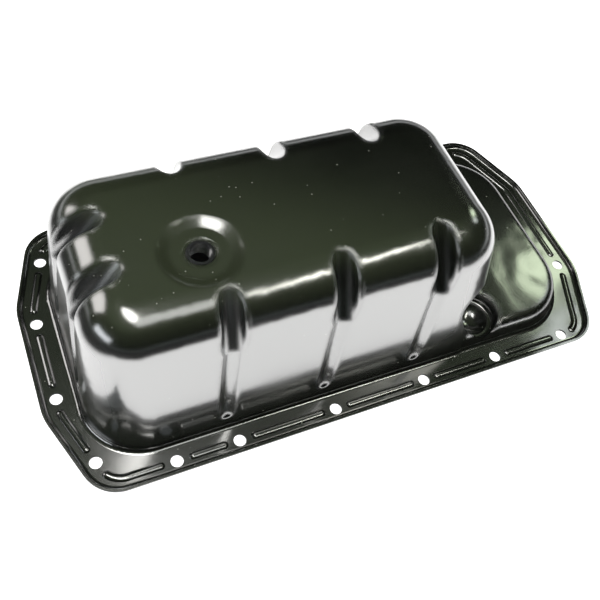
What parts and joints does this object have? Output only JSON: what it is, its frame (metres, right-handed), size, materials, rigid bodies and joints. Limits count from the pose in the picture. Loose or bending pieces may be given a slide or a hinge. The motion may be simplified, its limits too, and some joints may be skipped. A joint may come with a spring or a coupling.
{
  "type": "engine oil pan",
  "caption": "Pressed sheet-metal oil pan, shown upside down: deep sump with a drain nut, shallow step with wrench pockets, and a beaded bolting flange with a turned-up rim.",
  "frame": {"origin": "centre of the overall box on the gasket plane", "axes": "+X along the pan towards the shallow end, +Y across it, +Z out of the gasket plane towards the bottom of the sump, so the pan lies upside down as in the picture"},
  "size_m": [0.43, 0.211, 0.116],
  "materials": {
    "coat": "high-gloss black paint on pressed steel",
    "nut_coat": "gloss black paint on a machined weld nut"
  },
  "bodies": {
    "root": {"pan": "coat", "drain_nut": "nut_coat"}
  },
  "joints": []
}
